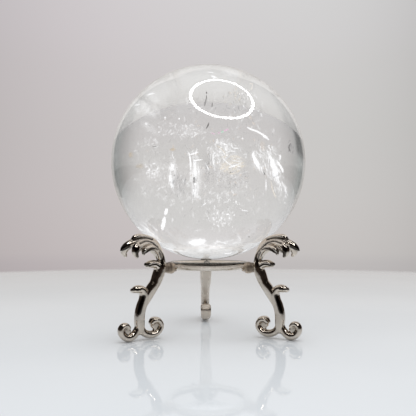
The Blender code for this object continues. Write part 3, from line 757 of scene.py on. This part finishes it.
# (colour, number, depth, across, up, half width, half height, lean, spread, length,
#  half thickness, strength)
FEATHERS = [
    (WHITE, 58, 0.45, 4.6, 4.6, 5.2, 6.2, 80, 50, 2.6, 0.34, 0.78),
    (CREAM, 75, 0.45, 9.6, -0.2, 5.8, 4.2, 15, 35, 3.0, 0.30, 0.95),
    (WHITE, 42, 0.42, 9.0, 2.5, 7.5, 6.5, 0, 90, 1.6, 0.28, 0.95),
    (WHITE, 18, 0.40, 6.4, 8.6, 4.0, 0.7, 0, 12, 2.0, 0.30, 0.78),
    (WHITE, 55, 0.42, -5.6, -4.5, 2.1, 10.5, 88, 16, 3.4, 0.32, 0.65),
    (WHITE, 15, 0.42, -6.2, 3.4, 2.6, 2.2, 20, 60, 1.6, 0.28, 0.78),
    (WHITE, 38, 0.42, -15.2, -3.4, 1.6, 7.5, 88, 12, 3.0, 0.34, 0.65),
    (WHITE, 70, 0.42, 27.2, -0.5, 3.2, 8.0, -62, 24, 2.6, 0.30, 0.85),
    (WHITE, 30, 0.44, 30.4, -11.0, 2.6, 6.0, -80, 14, 2.8, 0.32, 0.65),
    (WHITE, 28, 0.42, 21.6, 5.6, 2.4, 3.4, -60, 30, 2.4, 0.34, 0.62),
    (WHITE, 15, 0.42, 22.8, -1.0, 1.3, 4.0, -65, 20, 2.4, 0.32, 0.62),
    (WHITE, 65, 0.32, -8.8, 14.0, 7.5, 3.0, 20, 70, 1.5, 0.30, 0.65),
    (WHITE, 20, 0.32, -18.4, 15.6, 3.0, 3.6, 60, 60, 1.6, 0.32, 0.56),
    (WHITE, 55, 0.42, 5.2, -21.6, 6.0, 4.6, 80, 60, 1.3, 0.32, 0.78),
    (WHITE, 38, 0.36, -23.8, -2.8, 3.2, 3.2, 30, 80, 1.2, 0.36, 0.78),
    (WHITE, 30, 0.30, -24.5, 8.5, 3.6, 3.0, 20, 60, 1.6, 0.34, 0.53),
    (WHITE, 30, 0.25, 18.6, 26.4, 4.6, 5.6, -60, 30, 1.6, 0.32, 0.50),
    (CREAM, 25, 0.25, 10.0, 29.0, 4.6, 4.0, 30, 90, 1.3, 0.32, 0.62),
    (GREY, 32, 0.30, 9.8, 27.0, 6.6, 5.0, 90, 30, 2.2, 0.34, 0.39),
    (GREY, 20, 0.35, 34.6, 6.6, 1.2, 3.4, 80, 20, 1.8, 0.32, 0.54),
    (GREY, 28, 0.40, 0.4, -2.4, 2.2, 6.5, 88, 14, 3.2, 0.40, 0.33),
    (GREY, 25, 0.40, -12.2, -8.5, 2.6, 5.4, 86, 14, 3.2, 0.44, 0.33),
    (GREY, 75, 0.50, 8.0, -6.4, 9.5, 4.0, 20, 60, 2.6, 0.40, 0.27),
    (WHITE, 112, 0.50, 2.0, -9.5, 14.0, 7.5, 70, 60, 2.6, 0.42, 0.31),
    (WHITE, 75, 0.50, -19.0, -9.5, 9.0, 9.0, 70, 60, 2.6, 0.42, 0.31),
    (WHITE, 176, 0.50, 0.0, 0.0, 33.0, 30.0, 75, 60, 2.8, 0.40, 0.37),
    (GREY, 144, 0.55, 0.0, 2.0, 33.0, 28.0, 60, 80, 2.4, 0.40, 0.24),
    (PEACH, 64, 0.45, 6.0, 3.0, 22.0, 22.0, 40, 90, 2.0, 0.36, 0.40),
    (WHITE, 52, 0.10, -25.0, -28.6, 3.8, 4.6, -42, 9, 3.2, 0.22, 0.60),
    (WHITE, 80, 0.60, 2.0, -34.8, 15.0, 3.0, 0, 25, 2.6, 0.44, 0.62),
]


def inner_material(name, lo, hi, stretch, soft):
    """Soft glowing sheet or thread, its light painted in: emission in the vertex colour and its alpha,
    broken up by noise.
    """
    mat = bpy.data.materials.new(name)
    mat.use_nodes = True
    mat.cycles.emission_sampling = "NONE"
    N = Nodes(mat.node_tree)
    mat.node_tree.nodes.remove(mat.node_tree.nodes["Principled BSDF"])
    tone = N.new("ShaderNodeAttribute", attribute_name="tone")
    grain = N.new("ShaderNodeAttribute", attribute_name="grain")
    tex = N.new("ShaderNodeTexCoord")
    where = N.times(tex.outputs["Object"], stretch)
    lump = N.noise(where, 420.0, 5.0, 0.7)
    fine = N.noise(where, 1500.0, 3.0, 0.6)
    both = N.math("ADD", N.math("MULTIPLY", lump, 0.65), N.math("MULTIPLY", fine, 0.35))
    rough = N.ramp(both, lo, hi, 0.0, 1.6)
    keep = N.math("ADD", N.math("MULTIPLY", grain.outputs["Fac"], rough),
                  N.math("SUBTRACT", 1.0, grain.outputs["Fac"]))
    lw = N.new("ShaderNodeLayerWeight")
    edge = N.ramp(lw.outputs["Facing"], soft[0], soft[1], 1.0, 0.0)
    alpha = N.math("MULTIPLY", N.math("MULTIPLY", tone.outputs["Alpha"], keep), edge, clamp=True)
    # painted light: the inclusion glows in its colour instead of being lit
    em = N.new("ShaderNodeEmission")
    N.wire(N.mix(N.ramp(fine, 0.3, 0.7, 0.0, 0.25), tone.outputs["Color"], (0.9, 0.9, 0.9, 1)),
           em.inputs["Color"])
    clear = N.new("ShaderNodeBsdfTransparent")
    m = N.new("ShaderNodeMixShader")
    N.wire(alpha, m.inputs[0])
    N.wire(clear.outputs[0], m.inputs[1])
    N.wire(em.outputs[0], m.inputs[2])
    out = [n for n in mat.node_tree.nodes if n.type == "OUTPUT_MATERIAL"][0]
    N.wire(m.outputs[0], out.inputs["Surface"])
    return mat


def inner_piece(name, verts, faces, tones, grains, lo=0.42, hi=0.62, stretch=(1, 1, 1),
                soft=(0.25, 0.92)):
    obj = mesh_object(name, verts, faces)
    me = obj.data
    a = me.attributes.new("tone", "FLOAT_COLOR", "POINT")
    a.data.foreach_set("color", np.array(tones, float).ravel())
    a = me.attributes.new("grain", "FLOAT", "POINT")
    a.data.foreach_set("value", np.array(grains, float))
    me.materials.append(inner_material(name + "_look", lo, hi, stretch, soft))
    obj.visible_shadow = False
    obj.visible_diffuse = False
    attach(obj, "ball")
    return obj


rng = random.Random(11)
verts, faces, tones, grains = [], [], [], []
for colour, strength, depth, pts in STREAKS:
    reach = math.hypot(pts[-1][0] - pts[0][0], pts[-1][1] - pts[0][1])
    strands = ((-0.45, 0.5), (0.05, 0.62), (0.5, 0.46)) if reach > 1.6 else ((0.0, 0.72),)
    for shift, share in strands:
        line = []
        for x, z, w in pts:
            x += shift * w * rng.uniform(0.4, 1.6)
            z += shift * w * rng.uniform(-0.6, 0.6)
            w *= share
            p = inside(x, z, depth)
            line.append((*p, min((inside(x + w, z, depth) - p).length, w * MM)))
        line = catmull(line, 7)
        line[:, 3] *= 0.8 + 0.75 * np.array([rng.random() for _ in line])
        tan = np.gradient(line[:, :3], axis=0)
        tan /= np.linalg.norm(tan, axis=1)[:, None]
        away = np.array((line[0, :3] - np.array(EYE)))
        s1 = np.cross(tan, away)
        s1 /= np.linalg.norm(s1, axis=1)[:, None]
        s2 = np.cross(tan, s1)
        base, n = len(verts), len(line)
        for i, row in enumerate(line):
            fade = min(1.0, 0.3 + 2.6 * min(i, n - 1 - i) / max(n - 1, 1))
            for k in range(8):
                t = k / 8 * 2 * math.pi
                verts.append(row[:3] + row[3] * (s1[i] * math.cos(t) + 0.6 * s2[i] * math.sin(t)))
                tones.append((*colour[:3], min(1.0, strength * fade)))
                grains.append(0.45)
        for i in range(n - 1):
            for k in range(8):
                m = (k + 1) % 8
                faces.append((base + i * 8 + k, base + i * 8 + m,
                              base + (i + 1) * 8 + m, base + (i + 1) * 8 + k))
        faces.append([base + k for k in range(8)][::-1])
        faces.append([base + (n - 1) * 8 + k for k in range(8)])
inner_piece("quartz_flakes_and_needles", verts, faces, tones, grains, soft=(0.10, 0.86))

verts, faces, tones, grains = [], [], [], []
for colour, strength, depth, x, z, a, b, tilt, mottle in CLOUDS:
    base, rings, seg = len(verts), 10, 36
    ct, st = math.cos(math.radians(tilt)), math.sin(math.radians(tilt))
    for i in range(rings + 1):
        rho = i / rings
        for k in range(seg):
            t = k / seg * 2 * math.pi
            u, v = a * rho * math.cos(t), b * rho * math.sin(t)
            verts.append(inside(x + u * ct + v * st, z - u * st + v * ct,
                                depth + 0.03 * math.sin(0.5 * u + z) * rho))
            tones.append((*colour[:3], strength * (1 - rho * rho) ** 0.9))
            grains.append(mottle)
    for i in range(rings):
        for k in range(seg):
            m = (k + 1) % seg
            faces.append((base + i * seg + k, base + i * seg + m,
                          base + (i + 1) * seg + m, base + (i + 1) * seg + k))
inner_piece("quartz_clouds", verts, faces, tones, grains, 0.42, 0.60, (1.3, 1.3, 0.6))

# feathers: swarms of thin flakes, each a narrow ribbon that tapers to nothing
verts, faces, tones, grains = [], [], [], []
for colour, count, depth, x, z, a, b, lean, spread, size, width, strength in FEATHERS:
    for _ in range(count):
        r, t = math.sqrt(rng.random()), rng.uniform(0, 2 * math.pi)
        u, v = x + a * r * math.cos(t), z + b * r * math.sin(t)
        way = math.radians(lean + rng.uniform(-spread, spread))
        bend = rng.uniform(-0.5, 0.5)
        length = size * rng.uniform(0.4, 1.3)
        deep = min(0.92, max(0.06, depth + rng.uniform(-0.07, 0.07)))
        half = width * rng.uniform(0.5, 1.4)
        force = strength * rng.uniform(0.35, 1.2)
        base, n = len(verts), 7
        for i in range(n):
            q = i / (n - 1) - 0.5
            turn = way + bend * q
            cx, cz = u + q * length * math.cos(turn), v + q * length * math.sin(turn)
            w = half * math.sqrt(max(0.02, 1 - (2 * q) ** 2)) * rng.uniform(0.7, 1.3)
            nx, nz = -math.sin(turn) * w, math.cos(turn) * w
            for side, weight in ((-1, 0.0), (0, 1.0), (1, 0.0)):
                verts.append(inside(cx + side * nx, cz + side * nz, deep + 0.0025 * side * math.sin(9 * u)))
                tones.append((*colour[:3], min(1.0, force * weight * (1 - (2 * q) ** 4))))
                grains.append(0.5)
        for i in range(n - 1):
            for k in range(2):
                o = base + i * 3 + k
                faces.append((o, o + 1, o + 4, o + 3))
inner_piece("quartz_feathers", verts, faces, tones, grains, 0.40, 0.58)

# two wavy sheets of wisps and specks across the whole ball
verts, faces, tones, grains = [], [], [], []
for number, (turn, lean, shift) in enumerate(((12, 8, 0.004), (-38, -14, -0.006))):
    base, rings, seg = len(verts), 40, 96
    rot = (Matrix.Rotation(math.radians(turn), 3, "Z") @ Matrix.Rotation(math.radians(lean), 3, "X"))
    for i in range(rings + 1):
        rho = i / rings
        for k in range(seg):
            t = k / seg * 2 * math.pi
            x, z = rho * math.cos(t), rho * math.sin(t)
            y = 0.05 * math.sin(5 * x + 2 * z + number) + 0.04 * math.sin(7 * z - 3 * x)
            p = Vector((x, y, z)) * BALL_R * 0.9 + Vector((0, shift, 0))
            verts.append(BALL_C + rot @ p)
            tones.append((*srgb(244, 244, 242)[:3], 0.30 * (1 - rho ** 6)))
            grains.append(1.0)
    for i in range(rings):
        for k in range(seg):
            m = (k + 1) % seg
            faces.append((base + i * seg + k, base + i * seg + m,
                          base + (i + 1) * seg + m, base + (i + 1) * seg + k))
inner_piece("quartz_veils", verts, faces, tones, grains, 0.56, 0.70, (1, 1, 0.7))

# ------------------------------------------------------------------------- stage
FLOOR_R = 0.467
bm = bmesh.new()
bmesh.ops.create_circle(bm, cap_ends=True, segments=128, radius=FLOOR_R * 1.1)
mesh = bpy.data.meshes.new("floor")
bm.to_mesh(mesh)
bm.free()
floor = link(bpy.data.objects.new("floor", mesh))
floor.location.z = -0.0001
mat, N, bsdf = new_material("pale_table")
geo = N.new("ShaderNodeNewGeometry")
sep = N.new("ShaderNodeSeparateXYZ")
N.wire(geo.outputs["Position"], sep.inputs[0])
rad = N.math("SQRT", N.math("ADD", N.math("MULTIPLY", sep.outputs[0], sep.outputs[0]),
                            N.math("MULTIPLY", sep.outputs[1], sep.outputs[1])))
haze = N.noise(geo.outputs["Position"], 9.0, 2.0)
grain = N.noise(geo.outputs["Position"], 240.0, 3.0)
tone = N.mix(N.ramp(haze, 0.35, 0.65), (0.655, 0.70, 0.745, 1), (0.685, 0.727, 0.77, 1))
path = N.new("ShaderNodeLightPath")
tone = N.mix(path.outputs["Is Transmission Ray"], tone, (0.738, 0.740, 0.738, 1))
N.wire(N.mix(N.math("MULTIPLY", grain, 0.12), tone, (0.72, 0.75, 0.79, 1)), bsdf.inputs["Base Color"])
N.wire(N.ramp(grain, 0.3, 0.7, 0.02, 0.05), bsdf.inputs["Roughness"])
bsdf.inputs["Specular IOR Level"].default_value = 0.32
clear = N.new("ShaderNodeBsdfTransparent")
mixs = N.new("ShaderNodeMixShader")
N.wire(N.ramp(rad, FLOOR_R * 0.93, FLOOR_R * 1.08), mixs.inputs[0])
N.wire(bsdf.outputs[0], mixs.inputs[1])
N.wire(clear.outputs[0], mixs.inputs[2])
out = [n for n in mat.node_tree.nodes if n.type == "OUTPUT_MATERIAL"][0]
N.wire(mixs.outputs[0], out.inputs["Surface"])
floor.data.materials.append(mat)

# overhead ring lamp: what the ball and the metal show as a white ring
LAMP_DIR = Vector((0.184, -0.390, 0.902)).normalized()
LAMP_D = 0.60
centre = BALL_C + LAMP_DIR * LAMP_D
ro, ri = 0.314, 0.279
verts, faces = [], []
SEG = 96
for i in range(SEG):
    a = i / SEG * 2 * math.pi
    for r in (ri, ro):
        verts.append((math.cos(a) * r, math.sin(a) * r, 0))
for i in range(SEG):
    j = (i + 1) % SEG
    faces.append((2 * i, 2 * i + 1, 2 * j + 1, 2 * j))
lamp = mesh_object("ring_lamp", verts, faces, smooth=False)
lamp.matrix_world = Matrix.Translation(centre) @ LAMP_DIR.to_track_quat("Z", "Y").to_matrix().to_4x4()
mat = bpy.data.materials.new("lamp_white")
mat.use_nodes = True
N = Nodes(mat.node_tree)
mat.node_tree.nodes.remove(mat.node_tree.nodes["Principled BSDF"])
em = N.new("ShaderNodeEmission")
# left dark for rays that come straight off the wire ring or the stems as the camera sees them: painted
# shade that takes the lamp's highlight off them
geo = N.new("ShaderNodeNewGeometry")
path = N.new("ShaderNodeLightPath")
back_up = N.scaled(geo.outputs["Incoming"], path.outputs["Ray Length"])
origin = N.new("ShaderNodeSeparateXYZ")
N.wire(N.plus(geo.outputs["Position"], back_up), origin.inputs[0])
reach = N.math("SQRT", N.math("ADD", N.math("MULTIPLY", origin.outputs[0], origin.outputs[0]),
                              N.math("MULTIPLY", origin.outputs[1], origin.outputs[1])))
shaded = N.math("MULTIPLY", N.math("LESS_THAN", reach, RING_R + 1.4 * WIRE_R),
                N.math("LESS_THAN", origin.outputs[2], RING_Z + 2 * WIRE_R))
stems = N.math("MULTIPLY", N.math("LESS_THAN", reach, 0.0285),
               N.math("MULTIPLY", N.math("LESS_THAN", origin.outputs[2], 0.0255),
                      N.math("GREATER_THAN", origin.outputs[2], 0.0135)))
shaded = N.math("MULTIPLY", N.math("MAXIMUM", shaded, stems),
                N.math("LESS_THAN", path.outputs["Ray Depth"], 1.5))
N.wire(N.math("MULTIPLY", N.math("SUBTRACT", 1.0, shaded), 13.0), em.inputs["Strength"])
out = [n for n in mat.node_tree.nodes if n.type == "OUTPUT_MATERIAL"][0]
N.wire(em.outputs[0], out.inputs["Surface"])
lamp.data.materials.append(mat)
lamp.visible_camera = False
lamp.visible_diffuse = False
lamp.visible_shadow = False
lamp.visible_transmission = False

key = bpy.data.lights.new("key", "AREA")
key.shape = "DISK"
key.size = 0.7
key.energy = 3.0
key.color = (1.0, 0.985, 0.97)
key_obj = link(bpy.data.objects.new("key", key))
key_obj.location = BALL_C + Vector((0.12, -0.05, 0.69))
key_obj.rotation_euler = (math.radians(-4), math.radians(10), 0)
key_obj.visible_glossy = False
key_obj.visible_camera = False
key_obj.visible_transmission = False

# ------------------------------------------------------------------------- world
world = bpy.data.worlds.new("studio")
scene.world = world
world.use_nodes = True
N = Nodes(world.node_tree)
for n in list(world.node_tree.nodes):
    if n.type == "BACKGROUND":
        back = n
tex = N.new("ShaderNodeTexCoord")
d = tex.outputs["Generated"]
sep = N.new("ShaderNodeSeparateXYZ")
N.wire(d, sep.inputs[0])
flat = N.new("ShaderNodeCombineXYZ")
N.wire(sep.outputs[0], flat.inputs[0])
N.wire(sep.outputs[1], flat.inputs[1])
vt = N.new("ShaderNodeVectorTransform", vector_type="VECTOR", convert_from="WORLD", convert_to="CAMERA")
N.wire(flat.outputs[0], vt.inputs[0])
cs = N.new("ShaderNodeSeparateXYZ")
N.wire(vt.outputs[0], cs.inputs[0])
az = N.math("ARCTAN2", cs.outputs[0], cs.outputs[2])       # 0 ahead of the camera
absaz = N.math("ABSOLUTE", az)
el = N.math("ARCSINE", sep.outputs[2])
lp = N.new("ShaderNodeLightPath")
D = math.radians
# the wall behind, as the camera sees it: brightest up and right of the middle
wall = N.stops(el, D(-5), D(33), [
    (D(-4.5), srgb(188, 183, 183)), (D(-2.3), srgb(192, 187, 187)), (D(-1), srgb(198, 193, 192)),
    (D(1), srgb(200, 195, 194)), (D(6), srgb(202, 198, 197)), (D(14), srgb(203, 200, 199)),
    (D(22), srgb(206, 203, 203)), (D(26), srgb(209, 206, 207)), (D(32), srgb(212, 210, 211))])
off = N.math("SUBTRACT", az, 0.13)
cube = N.math("POWER", N.math("ABSOLUTE", off), 3.0)
fall = N.math("MULTIPLY", cube, N.ramp(az, 0.0, 0.2, 0.66, 3.2))
tint = N.mix(N.ramp(az, -0.45, 0.35), (1.0, 0.966, 0.98, 1), (1.0, 1.015, 1.005, 1))
seen = N.times(N.scaled(wall, N.math("SUBTRACT", 1.0, N.math("MINIMUM", fall, 0.3))), tint)
# the same studio as the ball gathers it: far wider, a bright top, greyer low down at the sides
wide = N.stops(el, D(-15), D(90), [
    (D(-12), srgb(209, 207, 207)), (D(-5), srgb(207, 204, 203)), (D(1), srgb(208, 205, 204)),
    (D(8), srgb(210, 208, 206)), (D(14), srgb(212, 209, 207)), (D(22), srgb(212, 210, 208)),
    (D(33), srgb(214, 212, 210)), (D(41), srgb(222, 219, 218)), (D(50), srgb(232, 230, 229)),
    (D(58), srgb(242, 240, 238)), (D(72), srgb(240, 238, 236)), (D(80), srgb(214, 212, 210)),
    (D(84), srgb(120, 112, 104)), (D(88), srgb(40, 32, 27))])
low = N.ramp(el, D(13), D(30), 1.0, 0.0)
side = N.math("MINIMUM", N.ramp(az, D(24), D(50), 1.0, 0.62), N.ramp(az, D(-24), D(-50), 1.0, 0.74))
side = N.math("ADD", N.math("MULTIPLY", side, low), N.math("SUBTRACT", 1.0, low))
strip = N.math("MULTIPLY", N.ramp(az, D(-45), D(-52)), N.ramp(el, D(-1), D(5), 1.0, 0.0))
side = N.math("MULTIPLY", side, N.math("SUBTRACT", 1.0, N.math("MULTIPLY", strip, 0.70)))
teal = N.mix(N.math("MULTIPLY", N.ramp(absaz, D(40), D(58)), low), (1, 1, 1, 1), (0.95, 1.02, 1.02, 1))
front = N.ramp(absaz, D(96), D(128), 1.0, 0.06)
see_through = N.times(N.scaled(wide, N.math("MULTIPLY", side, front)), teal)
# what the metal mirrors
backdrop = N.math("MULTIPLY", N.ramp(absaz, 0.62, 0.72, 1.0, 0.0), N.ramp(el, 0.96, 1.13, 1.0, 0.0))
room = N.mix(N.ramp(el, 0.0, 0.5), (0.035, 0.026, 0.022, 1), (0.012, 0.010, 0.009, 1))
mirror = N.mix(backdrop, room, N.stops(el, D(-10), D(70), [
    (D(-9), srgb(196, 190, 187)), (D(10), srgb(202, 197, 193)), (D(35), srgb(210, 206, 203)),
    (D(60), srgb(214, 210, 207))]))
colour = N.mix(lp.outputs["Is Camera Ray"], see_through, seen)
gl = N.math("MULTIPLY", lp.outputs["Is Glossy Ray"],
            N.math("SUBTRACT", 1.0, lp.outputs["Is Transmission Ray"]))
colour = N.mix(gl, colour, mirror)
colour = N.mix(lp.outputs["Is Diffuse Ray"], colour, (0.80, 0.79, 0.78, 1))
N.wire(colour, back.inputs["Color"])
back.inputs["Strength"].default_value = 1.0

# ------------------------------------------------------------------------ camera
cam_data = bpy.data.cameras.new("camera")
cam_data.sensor_width = 36.0
cam_data.lens = 430.0 / 416.0 * 36.0
cam_data.clip_start = 0.005
cam = link(bpy.data.objects.new("camera", cam_data))
cam.location = EYE
cam.rotation_euler = (math.radians(90) + TILT, 0, CAM_AZ + PAN)
scene.camera = cam
